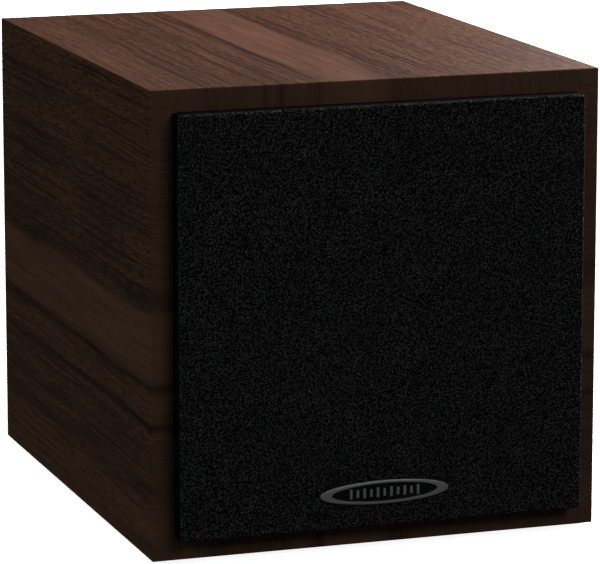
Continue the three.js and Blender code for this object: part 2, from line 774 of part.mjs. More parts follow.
function lineInputJack() {
  const [x, z] = LINE.place;
  const back = PLATE_BACK - 10;
  const tip = ON_PLATE + 8;
  const barrel = turned([
    [0, back],
    [LINE.radius, back],
    [LINE.radius, ON_PLATE],
    [LINE.radius + 1.8, ON_PLATE],
    [LINE.radius + 1.8, ON_PLATE + 1.4],
    [LINE.radius - 0.2, ON_PLATE + 1.4],
    [LINE.radius - 0.2, tip],
    [1.6, tip],
    [1.6, ON_PLATE - 2],
    [0, ON_PLATE - 2],
  ], COARSE);
  return piece('line_input_jack', barrel.translate(x, 0, z), FINISH.zincSteel);
}

// A snap-in inlet: the mains socket above, and the channel of the fuse drawer below it.
function mainsInlet() {
  const [x, z] = INLET.place;
  const face = ON_PLATE + 1.8;
  const flange = plate(roundedRectangle(50, 31, 4, INLET.place), [ON_PLATE, face], SMALL);
  const body = stud(INLET.place, INLET.body, [face - 23, ON_PLATE + 1]);
  const socket = stud([x, z + INLET.socketLift], INLET.socket, [face - INLET.socketDepth, 1]);
  const channelSize = widened([DRAWER.width, DRAWER.height], SLIP_GAP);
  const channel = stud(drawerPlace(), channelSize, [face - DRAWER.length - SLIP_GAP, 1]);
  return piece('mains_inlet', cut(join(flange, body), socket, channel), FINISH.blackPlastic);
}

// The drawer has a tray for the fuse in its top and a finger lip along its front.
function fuseDrawer() {
  const [x, z] = drawerPlace();
  const front = ON_PLATE + 2.4;
  const back = ON_PLATE + 1.8 - DRAWER.length;
  const body = stud([x, z], [DRAWER.width, DRAWER.height], [back, front]);
  const lip = stud([x, z + DRAWER.height / 2 - 0.8], [DRAWER.width - 4, 1.6], [front - 1, front + 1.2]);
  const tray = stud([x, z + 1.6], [DRAWER.width - 3, 4.6], [back + 1.5, front - 3]);
  return piece('fuse_drawer', cut(join(body, lip), tray), FINISH.blackPlastic);
}

function switchHousing() {
  const face = ON_PLATE + 1.6;
  const [x, z] = SWITCH.place;
  const bezel = plate(roundedRectangle(15.6, 21.6, 1.2, SWITCH.place), [ON_PLATE, face], SMALL);
  const body = stud(SWITCH.place, SWITCH.body, [face - 20, ON_PLATE + 1]);
  const hollow = stud(SWITCH.place, SWITCH.hollow, [face - 10, 1]);
  const bearing = rod(1.5, span(0, SWITCH.body[0] + 2)).rotateZ(Math.PI / 2);
  bearing.translate(x, SWITCH.pivotDepth, z);
  return piece('switch_housing', cut(join(bezel, body), hollow, bearing), FINISH.blackPlastic);
}

// The rocker rests with its upper half out, and tips about a stub at each side.
function switchRocker() {
  const halfLength = 7.6;
  const halfWidth = SWITCH.hollow[0] / 2 - 0.4;
  const [ends, valley, heel] = [5.2, 3.8, -1.8]; // heights above the pivot
  const section = new THREE.Shape([
    new THREE.Vector2(ends, halfLength),
    new THREE.Vector2(heel, halfLength * 0.6),
    new THREE.Vector2(heel, -halfLength * 0.6),
    new THREE.Vector2(ends, -halfLength),
    new THREE.Vector2(valley, 0),
  ]);
  const paddle = new THREE.ExtrudeGeometry(section, { depth: 2 * halfWidth, bevelEnabled: false });
  // The section's first axis becomes Y, its second Z, and its thickness runs along X.
  const toYZX = new THREE.Matrix4().set(0, 0, 1, -halfWidth, 1, 0, 0, 0, 0, 1, 0, 0, 0, 0, 0, 1);
  paddle.applyMatrix4(toYZX);
  const stubs = rod(1.2, span(0, 2 * halfWidth + 1.6)).rotateZ(Math.PI / 2);
  const rocker = piece('switch_rocker', join(paddle, stubs), FINISH.blackPlastic);
  rocker.position.set(SWITCH.place[0], SWITCH.pivotDepth, SWITCH.place[1]);
  rocker.rotation.x = -THREE.MathUtils.degToRad(SWITCH.tilt);
  return rocker;
}

function powerLight() {
  const [x, z] = LIGHT.place;
  const lens = turned([
    [0, PLATE_BACK - 3],
    [LIGHT.radius, PLATE_BACK - 3],
    [LIGHT.radius, ON_PLATE],
    [LIGHT.radius + 0.7, ON_PLATE],
    [LIGHT.radius + 0.7, ON_PLATE + 0.6],
    [LIGHT.radius, ON_PLATE + 0.6],
    [LIGHT.radius * 0.75, ON_PLATE + 2],
    [0, ON_PLATE + 2.7],
  ], COARSE);
  return piece('power_light', lens.translate(x, 0, z), FINISH.lens);
}

// A ring-wound transformer, bolted to the upper half of the plate.
function transformer() {
  const [inner, outer, round] = [9, 26, 4];
  const back = PLATE_BACK - 1.5;
  const front = back - 26;
  const winding = turned([
    [inner, back - round],
    [inner + round, back],
    [outer - round, back],
    [outer, back - round],
    [outer, front + round],
    [outer - round, front],
    [inner + round, front],
    [inner, front + round],
  ], COARSE);
  const height = OPENING_HALF - outer - 1; // just inside the top of the rear panel's opening
  return piece('transformer', winding.translate(0, 0, height), FINISH.windingTape);
}

const AMP_BOARD = { middle: [0, -33], size: [116, 48], back: -30.6, thickness: 1.6 };
AMP_BOARD.front = AMP_BOARD.back - AMP_BOARD.thickness;

// The board is held by the jacks' solder pins, and carries two tall capacitors on its inner side.
function ampBoard() {
  const board = stud(AMP_BOARD.middle, AMP_BOARD.size, [AMP_BOARD.front, AMP_BOARD.back]);
  const foot = AMP_BOARD.front - SLIP_GAP;
  const top = foot - 25;
  const radius = 8;
  const can = turned([
    [0, foot],
    [radius, foot],
    [radius, foot - 3],
    [radius - 0.8, foot - 3.8],
    [radius, foot - 4.6],
    [radius, top + 0.8],
    [radius - 0.8, top],
    [0, top],
  ], COARSE);
  const capacitors = [-44, -24].map((x, index) => {
    const capacitor = piece(`capacitor_${index + 1}`, can, FINISH.sleeve);
    capacitor.position.set(x, 0, AMP_BOARD.middle[1]);
    return capacitor;
  });
  return [piece('amp_board', board, FINISH.circuitBoard), ...capacitors];
}

function amplifier() {
  const { headRadius, shankRadius, length } = PLATE_SCREW;
  const plateScrew = screw(headRadius, shankRadius, length).translate(0, ON_PLATE, 0);
  return [
    rearPanel(),
    plateGasket(),
    ampPlate(),
    heatsink(),
    volumeKnob(),
    volumePot(),
    comboJack(),
    jackLatchTab(),
    lineInputJack(),
    mainsInlet(),
    fuseDrawer(),
    switchHousing(),
    switchRocker(),
    powerLight(),
    transformer(),
    ...ampBoard(),
    ...atCorners('plate_screw', plateScrew, FINISH.blackSteel, [CORNER_FIXING, CORNER_FIXING]),
  ];
}

// The two leads run along the bottom of the cabinet, from the driver's lugs to the circuit board.
function speakerLeads() {
  const radius = 1.2;
  const lugY = TERMINAL.front + TERMINAL.thickness / 2 - HALF_DEPTH;
  const lugZ = CENTRE_HEIGHT + TERMINAL.lugEnd - radius - SLIP_GAP;
  const boardY = HALF_DEPTH + AMP_BOARD.front - 2 * SLIP_GAP;
  return [['speaker_lead_red', 1, FINISH.redLead], ['speaker_lead_black', -1, FINISH.blackLead]]
    .map(([name, side, finish]) => {
      const start = side * TERMINAL.lugSpacing / 2;
      const end = 14 + side * 4;
      return piece(name, cable([
        [start, lugY, lugZ],
        [start, lugY + 7, lugZ - 7],
        [start + 1, -45, 21],
        [start + 4, -5, 18.5],
        [end - 2, 35, 21],
        [end, 55, 34],
        [end, 63, 44],
        [end, boardY, 44],
      ], radius, 20), finish);
    });
}

// ---------------------------------------------------------------- assembly

const cabinet = group([...cabinetPanels(), dampingWadding()], 0, CENTRE_HEIGHT);
const front = group(
  [frontBaffle(), ...grilleSockets(), ...driver(), grilleFrame(), grilleCloth(), ...badge()],
  -HALF_DEPTH,
  CENTRE_HEIGHT,
);
const back = group(amplifier(), HALF_DEPTH, CENTRE_HEIGHT);

export default group([...rubberFeet(), cabinet, front, back, ...speakerLeads()]);
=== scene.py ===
"""Looks for a small powered bookshelf speaker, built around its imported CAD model.

The scene is in metres and in the CAD model's frame: X to the right, Y to the back, Z up, with the
floor at z = 0. Shapes are worked out in millimetres, and scaled when their piece is made.
"""

import json
import math

import bmesh
import bpy
from mathutils import Matrix, Vector, noise

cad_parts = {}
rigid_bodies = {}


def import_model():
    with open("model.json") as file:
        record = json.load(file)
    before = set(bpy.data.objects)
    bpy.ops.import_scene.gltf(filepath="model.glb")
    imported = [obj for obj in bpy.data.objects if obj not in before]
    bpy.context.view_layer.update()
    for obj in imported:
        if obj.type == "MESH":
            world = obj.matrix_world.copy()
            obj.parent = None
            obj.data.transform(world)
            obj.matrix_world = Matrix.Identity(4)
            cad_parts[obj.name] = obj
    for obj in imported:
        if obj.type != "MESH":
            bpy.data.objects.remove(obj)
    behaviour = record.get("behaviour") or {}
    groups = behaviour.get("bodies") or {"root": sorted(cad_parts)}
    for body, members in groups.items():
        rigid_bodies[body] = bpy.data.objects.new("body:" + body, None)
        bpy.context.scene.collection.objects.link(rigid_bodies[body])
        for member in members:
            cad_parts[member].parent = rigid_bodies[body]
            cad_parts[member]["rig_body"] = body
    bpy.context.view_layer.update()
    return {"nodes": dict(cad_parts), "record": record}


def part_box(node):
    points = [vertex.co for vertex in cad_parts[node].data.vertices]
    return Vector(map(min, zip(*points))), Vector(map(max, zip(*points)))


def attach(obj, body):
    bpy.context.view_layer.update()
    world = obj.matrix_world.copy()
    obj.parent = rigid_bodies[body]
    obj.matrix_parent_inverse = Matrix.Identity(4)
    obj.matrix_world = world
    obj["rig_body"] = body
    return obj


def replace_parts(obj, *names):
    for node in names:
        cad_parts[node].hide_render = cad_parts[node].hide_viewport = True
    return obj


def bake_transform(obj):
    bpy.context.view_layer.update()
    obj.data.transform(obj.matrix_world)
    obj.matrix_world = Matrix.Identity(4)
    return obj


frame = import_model()

MM = 0.001


# ---------------------------------------------------------------- places, all read from the frame


def box(node):
    """A node's lowest and highest corner, in millimetres."""
    low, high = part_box(node)
    return low / MM, high / MM


def middle(node):
    low, high = box(node)
    return (low + high) / 2


def size(node):
    low, high = box(node)
    return high - low


def in_face(node):
    """A node's middle in X and Z."""
    point = middle(node)
    return (point.x, point.z)


def body_of(node):
    return frame["nodes"][node]["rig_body"]


CABINET_LOW = box("cabinet_bottom_panel")[0]
CABINET_HIGH = box("cabinet_top_panel")[1]
CENTRE = (CABINET_LOW + CABINET_HIGH) / 2
HALF_FACE = (CABINET_HIGH.x - CABINET_LOW.x) / 2
FRONT = CABINET_LOW.y
BACK = CABINET_HIGH.y
PLATE_FACE = box("amp_plate")[1].y


# ---------------------------------------------------------------- material building


class Surface:
    """A procedural material: a Principled shader and the nodes that feed it."""

    def __init__(self, name, **shader):
        self.material = bpy.data.materials.new(name)
        self.material.use_nodes = True
        self.tree = self.material.node_tree
        self.shader = self.tree.nodes["Principled BSDF"]
        self.set(**shader)

    def set(self, **shader):
        for name, value in shader.items():
            self.plug(self.shader.inputs[name.replace("_", " ")], value)

    def plug(self, socket, value):
        if isinstance(value, bpy.types.NodeSocket):
            self.tree.links.new(value, socket)
        elif hasattr(socket.default_value, "__len__") and not hasattr(value, "__len__"):
            socket.default_value = [value] * len(socket.default_value)
        elif socket.type == "RGBA" and len(value) == 3:
            socket.default_value = (*value, 1)
        else:
            socket.default_value = value

    def node(self, kind, inputs=(), **settings):
        """A new node, with its settings and its inputs, which are values or other nodes' outputs."""
        node = self.tree.nodes.new("ShaderNode" + kind)
        for name, value in settings.items():
            setattr(node, name, value)
        for key, value in dict(inputs).items():
            self.plug(node.inputs[key], value)
        return node

    def math(self, operation, *values):
        node = self.node("Math", operation=operation)
        for socket, value in zip(node.inputs, values):
            self.plug(socket, value)
        return node.outputs[0]

    def add(self, *values):
        return self.math("ADD", *values)

    def times(self, *values):
        return self.math("MULTIPLY", *values)

    def grain(self, sizes, detail=2.0, roughness=0.5, vector=None):
        """Noise from 0 to 1, whose features are so many millimetres long, along each axis or all."""
        if not hasattr(sizes, "__len__"):
            sizes = (sizes, sizes, sizes)
        vector = vector or self.node("TexCoord").outputs["Object"]
        scale = [1 / (length * MM) for length in sizes]
        stretched = self.node("Mapping", {"Vector": vector, "Scale": scale}).outputs[0]
        inputs = {"Vector": stretched, "Scale": 1.0, "Detail": detail, "Roughness": roughness}
        return self.node("TexNoise", inputs).outputs["Fac"]

    def spread(self, value, low, high, to_low=0.0, to_high=1.0):
        """A value's range from low to high, stretched to another range and clamped to it."""
        inputs = {"Value": value, "From Min": low, "From Max": high}
        inputs |= {"To Min": to_low, "To Max": to_high}
        return self.node("MapRange", inputs, clamp=True).outputs[0]

    def blend(self, factor, first, second):
        node = self.node("Mix", data_type="RGBA")
        colours = [socket for socket in node.inputs if socket.type == "RGBA"]
        self.plug(node.inputs[0], factor)
        self.plug(colours[0], first)
        self.plug(colours[1], second)
        return [socket for socket in node.outputs if socket.type == "RGBA"][0]

    def ramp(self, factor, stops):
        """A value that runs through stops of (place, value)."""
        node = self.node("ValToRGB", {"Fac": factor})
        elements = node.color_ramp.elements
        while len(elements) < len(stops):
            elements.new(1.0)
        for element, (place, value) in zip(elements, stops):
            element.position = place
            element.color = (value, value, value, 1)
        return node.outputs["Color"]

    def relief(self, height, depth):
        """Bumps whose full height is depth millimetres."""
        inputs = {"Height": height, "Distance": depth * MM, "Strength": 1.0}
        self.set(Normal=self.node("Bump", inputs).outputs["Normal"])


# ---------------------------------------------------------------- materials


# Tone of the wood from one edge of a side to the other: (millimetres across the grain, tone).
WOOD_BANDS = (
    (0, 0.52), (14, 0.58), (20, 0.44), (27, 0.34), (30, 0.50), (36, 0.36), (38, 0.52),
    (44, 0.34), (46, 0.54), (48.5, 0.46), (50.2, 0.10), (52.5, 0.50), (59, 0.56),
    (62, 0.42), (63.8, 0.12), (66.5, 0.57), (78, 0.63), (89, 0.60), (92, 0.36),
    (97, 0.30), (101, 0.46), (118, 0.50), (126, 0.42), (140, 0.54), (156, 0.50), (172, 0.56),
)
# How strongly the open pores show, in the same way.
PORE_BANDS = (
    (0, 0.55), (20, 0.75), (45, 0.85), (62, 0.8), (68, 0.12), (88, 0.10), (93, 0.95), (172, 1.0),
)


def grey(value):
    return (value, value, value)


def walnut():
    """Dark walnut wrap: bands and streaks along the grain, and fine open pores.

    The mesh's UVs are metres across the grain and metres along it. On the front edge, which lies
    before FRONT in the UVs, the streaks and the pores are fainter, and a painted sheen makes the wood
    lighter and less red.
    """
    surface = Surface("walnut_wrap")
    flat = surface.node("TexCoord").outputs["UV"]
    across, along, _ = surface.node("SeparateXYZ", {0: flat}).outputs
    width = 2 * HALF_FACE

    slow = surface.grain((40, 90, 1), detail=1.0, vector=flat)
    quick = surface.grain((8, 34, 1), detail=2.0, vector=flat)
    wander = surface.add(
        surface.spread(slow, 0.2, 0.8, -1.3 * MM, 1.3 * MM),
        surface.spread(quick, 0.2, 0.8, -0.6 * MM, 0.6 * MM),
    )
    across = surface.add(across, wander)
    wavy = surface.node("CombineXYZ", {0: across, 1: along}).outputs[0]
    share = surface.math("FRACT", surface.math("DIVIDE", across, width * MM))

    def bands(stops):
        return surface.ramp(share, [(place / width, tone) for place, tone in stops])

    on_side = surface.spread(along, (FRONT - 0.5) * MM, FRONT * MM)
    long_pores = surface.spread(surface.grain((1.0, 110, 1), detail=1.0, vector=wavy), 0.53, 0.61)
    short_pores = surface.spread(surface.grain((0.42, 8, 1), detail=1.0, vector=wavy), 0.49, 0.60)
    shown = surface.times(bands(PORE_BANDS), surface.spread(on_side, 0, 1, 0.35, 1.0))
    pore = surface.times(surface.math("MAXIMUM", long_pores, short_pores), shown)

    streaks = surface.grain((2.2, 70, 1), detail=4.0, roughness=0.7, vector=wavy)
    streak = surface.times(
        surface.spread(streaks, 0.3, 0.7, -0.25, 0.27),
        surface.spread(on_side, 0, 1, 0.4, 1.0),
    )
    broad = surface.grain((6, 130, 1), detail=2.0, vector=wavy)
    tone = surface.add(bands(WOOD_BANDS), streak)
    tone = surface.add(tone, surface.spread(broad, 0.3, 0.7, -0.07, 0.07))
    tone = surface.spread(tone, 0.0, 1.0)

    side_wood = surface.blend(tone, (0.028, 0.0095, 0.005), (0.225, 0.095, 0.056))
    # Painted sheen: the front edge's wood is lighter and less red than the sides' wood.
    sheen_painted_edge_wood = surface.blend(tone, (0.055, 0.026, 0.016), (0.215, 0.110, 0.068))
    wood = surface.blend(on_side, sheen_painted_edge_wood, side_wood)
    surface.set(
        Base_Color=surface.blend(surface.times(pore, 0.65), wood, (0.025, 0.009, 0.005)),
        Roughness=surface.spread(streaks, 0.3, 0.7, 0.46, 0.56),
        Specular_IOR_Level=surface.spread(pore, 0, 1, 0.13, 0.05),
    )
    surface.relief(surface.times(pore, -1.0), 0.05)
    return surface.material


def felted_cloth():
    """Black grille cloth with a matted, felt-like face and stray lighter fibres; painted shade darkens
    its rounded edge and sides.
    """
    surface = Surface("grille_cloth", Roughness=0.95)
    tufts = surface.grain(0.7, detail=2.0, roughness=0.6)
    fibres = surface.grain(0.4, detail=2.0, roughness=0.6)
    patches = surface.grain(14, detail=2.0)
    matted = surface.spread(tufts, 0.44, 0.60)
    lift = surface.times(matted, surface.spread(fibres, 0.35, 0.62))
    base = surface.blend(lift, grey(0.002), grey(0.115))
    stray = surface.times(surface.spread(fibres, 0.60, 0.68), matted)
    lit = surface.blend(stray, base, grey(0.34))
    face = surface.blend(surface.spread(patches, 0.3, 0.7, 0.0, 0.3), lit, grey(0.004))
    depth = surface.node("SeparateXYZ", {0: surface.node("TexCoord").outputs["Object"]}).outputs[1]
    front = box("grille_cloth")[0].y
    # Painted shade: the cloth turns near black from just behind its face, back over the rounded edge
    # and the sides.
    side = surface.spread(depth, (front + 0.3) * MM, (front + 1.1) * MM)
    surface.set(Base_Color=surface.blend(side, face, grey(0.002)))
    surface.set(Specular_IOR_Level=surface.spread(side, 0, 1, 0.08, 0.04))
    surface.relief(surface.add(tufts, surface.times(fibres, 0.5)), 0.25)
    return surface.material


def mottled(name, dark, light, grain, roughness, relief=0.0):
    """A flecked finish between two colours, with roughness from (low, high) and fine relief."""
    surface = Surface(name)
    fleck = surface.grain(grain, detail=3.0)
    patch = surface.grain(18)
    colour = surface.blend(surface.spread(fleck, 0.3, 0.7), dark, light)
    surface.set(Base_Color=surface.blend(surface.spread(patch, 0.35, 0.65, 0.0, 0.3), colour, dark))
    surface.set(Roughness=surface.spread(fleck, 0.3, 0.7, *roughness))
    if relief:
        surface.relief(fleck, relief)
    return surface.material


def brushed(name, colour, along, roughness, metallic=1.0):
    """Bare metal with fine brush marks, long along one axis."""
    surface = Surface(name, Metallic=metallic)
    marks = surface.grain([6 if axis == along else 0.12 for axis in "xyz"], detail=2.0)
    dull = [channel * 0.8 for channel in colour]
    surface.set(Base_Color=surface.blend(surface.spread(marks, 0.3, 0.7), dull, colour))
    surface.set(Roughness=surface.spread(marks, 0.3, 0.7, roughness - 0.07, roughness + 0.07))
    surface.relief(marks, 0.01)
    return surface.material


# Finishes with a fleck: dark and light colours, the fleck's length in millimetres (along each axis
# or all), the range of roughness, and the depth of the relief in millimetres.
MOTTLED = {
    "black_board": (grey(0.014), grey(0.028), (1.5, 0.5, 1.5), (0.6, 0.8), 0.04),
    "badge_black": (grey(0.004), grey(0.008), 4, (0.12, 0.2)),
    "black_plastic": (grey(0.011), grey(0.020), 0.45, (0.42, 0.58), 0.03),
    "rubber": (grey(0.014), grey(0.028), 0.8, (0.5, 0.7), 0.03),
    "foam": (grey(0.008), grey(0.035), 0.5, (0.95, 1.0), 0.25),
    "cone_paper": (grey(0.020), grey(0.048), (1.2, 1.2, 0.7), (0.65, 0.85), 0.06),
    "black_steel": (grey(0.014), grey(0.028), 0.7, (0.38, 0.55), 0.02),
    "black_aluminium": (grey(0.017), grey(0.036), 0.45, (0.4, 0.58), 0.05),
    "ferrite": (grey(0.03), grey(0.06), 0.8, (0.6, 0.8), 0.03),
    "spider_cloth": ((0.36, 0.2, 0.06), (0.55, 0.33, 0.13), 0.5, (0.85, 1.0), 0.1),
    "wadding": ((0.55, 0.53, 0.48), (0.85, 0.83, 0.77), (3, 9, 3), (0.95, 1.0), 0.8),
    "phenolic": ((0.10, 0.045, 0.018), (0.19, 0.085, 0.035), (0.4, 5, 0.4), (0.4, 0.6)),
    "lead_red": ((0.30, 0.012, 0.010), (0.42, 0.022, 0.016), 2, (0.35, 0.5)),
    "lead_black": (grey(0.006), grey(0.012), 2, (0.35, 0.5)),
    "circuit_board": ((0.008, 0.07, 0.025), (0.02, 0.13, 0.05), 2.5, (0.3, 0.45)),
    "winding_tape": ((0.45, 0.27, 0.02), (0.62, 0.4, 0.04), (9, 1.2, 9), (0.3, 0.5)),
    "capacitor_sleeve": ((0.006, 0.010, 0.045), (0.01, 0.018, 0.07), 3, (0.2, 0.35)),
    "light_lens": ((0.02, 0.08, 0.45), (0.04, 0.16, 0.7), 1.5, (0.05, 0.12)),
    "white_print": (grey(0.42), grey(0.62), 0.6, (0.6, 0.75)),
    "red_nylon": ((0.32, 0.012, 0.012), (0.45, 0.02, 0.02), 1.2, (0.3, 0.45)),
}
# Metals: colour, the axis that the brush marks follow, roughness, and how metallic.
BRUSHED = {
    "badge_metal": (grey(0.5), "x", 0.42, 0.5),
    "plated_steel": ((0.62, 0.63, 0.64), "z", 0.32),
    "copper_wire": ((0.78, 0.36, 0.16), "x", 0.3),
    "contact_brass": ((0.72, 0.52, 0.22), "y", 0.3),
}
MATERIALS = {"walnut_wrap": walnut(), "grille_cloth": felted_cloth()}
MATERIALS |= {name: mottled(name, *look) for name, look in MOTTLED.items()}
MATERIALS |= {name: brushed(name, *look) for name, look in BRUSHED.items()}


# ---------------------------------------------------------------- mesh building


def mesh_object(name, bm, slot, body, finish=None, sharp=35):
    """Scales a mesh worked out in millimetres, and makes it a piece that rides on a body.

    Its material is the one that its slot names, or another finish.
    """
    bmesh.ops.recalc_face_normals(bm, faces=bm.faces)
    bmesh.ops.scale(bm, vec=(MM, MM, MM), verts=bm.verts)
    mesh = bpy.data.meshes.new(name)
    bm.to_mesh(mesh)
    bm.free()
    mesh.shade_smooth()
    mesh.set_sharp_from_angle(angle=math.radians(sharp))
    mesh.materials.append(MATERIALS[finish or slot])
    made = bpy.data.objects.new(name, mesh)
    bpy.context.collection.objects.link(made)
    flat = made.modifiers.new("flat_faces_stay_flat", "WEIGHTED_NORMAL")
    flat.keep_sharp = True
    if body:
        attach(made, body)
    return made


def turn(steps):
    return [2 * math.pi * step / steps for step in range(steps)]


def disc(radius, place, steps):
    """A circle's points in X and Z, for any distance outside it."""

    def outline(out):
        reach = radius + out
        return [(place[0] + reach * math.cos(a), place[1] + reach * math.sin(a)) for a in turn(steps)]

    return outline


def oval(half_width, half_height, place, steps=96):
    """The same for an ellipse."""

    def outline(out):
        return [
            (place[0] + (half_width + out) * math.cos(a), place[1] + (half_height + out) * math.sin(a))
            for a in turn(steps)
        ]

    return outline


def loft(bm, loops, ring=False):
    """Joins loops of equally many points into one skin: closed by its ends, or round as a ring."""
    rows = [[bm.verts.new(point) for point in loop] for loop in loops]
    following = rows[1:] + rows[:1] if ring else rows[1:]
    for first, second in zip(rows, following):
        for index in range(len(first)):
            after = (index + 1) % len(first)
            bm.faces.new((first[index], first[after], second[after], second[index]))
    if not ring:
        bm.faces.new(rows[0])
        bm.faces.new(rows[-1])
    bmesh.ops.remove_doubles(bm, verts=bm.verts, dist=1e-4)
    return bm


def swept(outline, profile, ring=False):
    """A solid whose outline in X and Z moves out and back along a profile of (out, y) points."""
    loops = [[Vector((x, y, z)) for x, z in outline(out)] for out, y in profile]
    return loft(bmesh.new(), loops, ring)


def lathe(profile, place, ring=False, steps=96):
    """A solid of revolution about Y from (radius, y) points, at a place in X and Z."""
    return swept(disc(0, place, steps), profile, ring)


def brick(low, high, edge):
    """A block with eased edges, from its lowest corner to its highest."""
    bm = bmesh.new()
    bmesh.ops.create_cube(bm, size=1)
    low, high = Vector(low), Vector(high)
    bmesh.ops.scale(bm, vec=high - low, verts=bm.verts)
    bmesh.ops.translate(bm, vec=(low + high) / 2, verts=bm.verts)
    if edge:
        bmesh.ops.bevel(bm, geom=bm.edges, offset=edge, segments=2, profile=0.5, affect="EDGES")
    return bm


def joined(first, *others):
    """Several meshes as one, left as separate shells."""
    for other in others:
        mesh = bpy.data.meshes.new("joining")
        other.to_mesh(mesh)
        other.free()
        first.from_mesh(mesh)
        bpy.data.meshes.remove(mesh)
    return first


def carved(body, *tools):
    """A mesh with other meshes cut out of it."""
    objects = []
    for bm in (body, *tools):
        bmesh.ops.recalc_face_normals(bm, faces=bm.faces)
        mesh = bpy.data.meshes.new("carving")
        bm.to_mesh(mesh)
        bm.free()
        objects.append(bpy.data.objects.new("carving", mesh))
        bpy.context.collection.objects.link(objects[-1])
    for tool in objects[1:]:
        cut = objects[0].modifiers.new("cut", "BOOLEAN")
        cut.object = tool
        cut.solver = "EXACT"
    rest = bmesh.new()
    rest.from_object(objects[0], bpy.context.evaluated_depsgraph_get())
    for item in objects:
        mesh = item.data
        bpy.data.objects.remove(item)
        bpy.data.meshes.remove(mesh)
    return rest


def shape_of(node):
    """A copy of a CAD node's mesh, in millimetres, with its flat faces whole."""
    bm = bmesh.new()
    bm.from_mesh(frame["nodes"][node].data)
    bmesh.ops.scale(bm, vec=(1 / MM, 1 / MM, 1 / MM), verts=bm.verts)
    bmesh.ops.remove_doubles(bm, verts=bm.verts, dist=1e-3)
    bmesh.ops.dissolve_limit(bm, angle_limit=math.radians(0.5), verts=bm.verts, edges=bm.edges)
    return bm


def ease(bm, edge):
    """Rounds the sharp edges of a mesh."""
    least = math.radians(40)
    sharp = [e for e in bm.edges if len(e.link_faces) == 2 and e.calc_face_angle() > least]
    bmesh.ops.bevel(
        bm, geom=sharp, offset=edge, segments=2, profile=0.5, affect="EDGES", clamp_overlap=True,
    )
    return bm


def eased(node, slot, edge=0.25):
    """A CAD node's own shape with its sharp edges rounded, as a piece that stands for it."""
    made = mesh_object(f"{node}_eased", ease(shape_of(node), edge), slot, body_of(node))
    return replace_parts(made, node)


def keep(node, slot):
    """A CAD node that keeps its shape, in its procedural material."""
    made = frame["nodes"][node]
    for holder in made.material_slots:
        holder.material = MATERIALS[slot]


# ---------------------------------------------------------------- cabinet


def unrolled(point, face_normal):
    """Metres across and along the grain at a point of the cabinet's skin.

    The wrap runs over each outer face and on over the front and back edges, so a band of the wood
    carries on round the edge. Each side has its own stretch of the wood, one width from the next.
    The bands repeat every width, so at the mitres they nearly meet.
    """
    x, z = point.x - CENTRE.x, point.z - CENTRE.z
    if abs(z) > abs(x):
        across = x + (0 if z > 0 else 4 * HALF_FACE)
    else:
        across = z + (2 * HALF_FACE if x < 0 else 6 * HALF_FACE)
    inward = HALF_FACE - max(abs(x), abs(z))
    along = point.y
    if face_normal.y < -0.5:
        along = FRONT - inward
    elif face_normal.y > 0.5:
        along = BACK + inward
    return (across + HALF_FACE) * MM, along * MM


def cabinet_wrap():
    """The four mitred sides as one wrapped box with a hair's breadth of round along its edges."""
    inner = HALF_FACE - size("cabinet_left_panel").x
    rounding = 0.45

    def square(half, y):
        corners = ((1, 1), (-1, 1), (-1, -1), (1, -1))
        return [Vector((CENTRE.x + x * half, y, CENTRE.z + z * half)) for x, z in corners]

    bm = loft(bmesh.new(), [
        square(HALF_FACE, FRONT),
        square(HALF_FACE, BACK),
        square(inner, BACK),
        square(inner, FRONT),
    ], ring=True)
    bmesh.ops.recalc_face_normals(bm, faces=bm.faces)
    outside = [
        e for e in bm.edges
        if e.calc_face_angle() > 1 and all(is_outer(v.co) for v in e.verts)
    ]
    bmesh.ops.bevel(bm, geom=outside, offset=rounding, segments=3, profile=0.5, affect="EDGES")
    unroll = bm.loops.layers.uv.new("grain")
    for face in bm.faces:
        core = face.calc_center_median()
        for loop in face.loops:
            nudged = loop.vert.co.lerp(core, 1e-3)
            loop[unroll].uv = unrolled(nudged, face.normal)
    made = mesh_object("cabinet_wrap", bm, "walnut_wrap", "cabinet")
    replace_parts(made, *[f"cabinet_{side}_panel" for side in ("top", "bottom", "left", "right")])


def is_outer(point):
    return max(abs(point.x - CENTRE.x), abs(point.z - CENTRE.z)) > HALF_FACE - 0.1


# ---------------------------------------------------------------- grille


def rounded_square(across, up, half, corner):
    """A point of a square, moved so that the square's corners are round, and the way out of it."""
    core = Vector((max(-half + corner, min(half - corner, across)), 0, 0))
    core.z = max(-half + corner, min(half - corner, up))
    over = Vector((across - core.x, 0, up - core.z))
    if over.length < 1e-6:
        return core, Vector((0, 0, 0))
    reach = max(abs(over.x), abs(over.z))
    return core + over.normalized() * reach, over.normalized()


def cloth_face(bm, half, corner, y, cells, sink):
    """A square of cloth facing front, at y and sunk by a function of the place; returns its rim."""
    place = middle("grille_cloth")
    rows = []
    for row in range(cells + 1):
        line = []
        for column in range(cells + 1):
            across = half * (2 * column / cells - 1)
            up = half * (2 * row / cells - 1)
            point, _ = rounded_square(across, up, half, corner)
            depth = y + sink(point.x, point.z)
            line.append(bm.verts.new((place.x + point.x, depth, place.z + point.z)))
        rows.append(line)
    for row in range(cells):
        for column in range(cells):
            bm.faces.new((
                rows[row][column], rows[row][column + 1],
                rows[row + 1][column + 1], rows[row + 1][column],
            ))
    rim = rows[0] + [line[-1] for line in rows[1:]] + rows[-1][-2::-1]
    return rim + [line[0] for line in rows[-2:0:-1]]


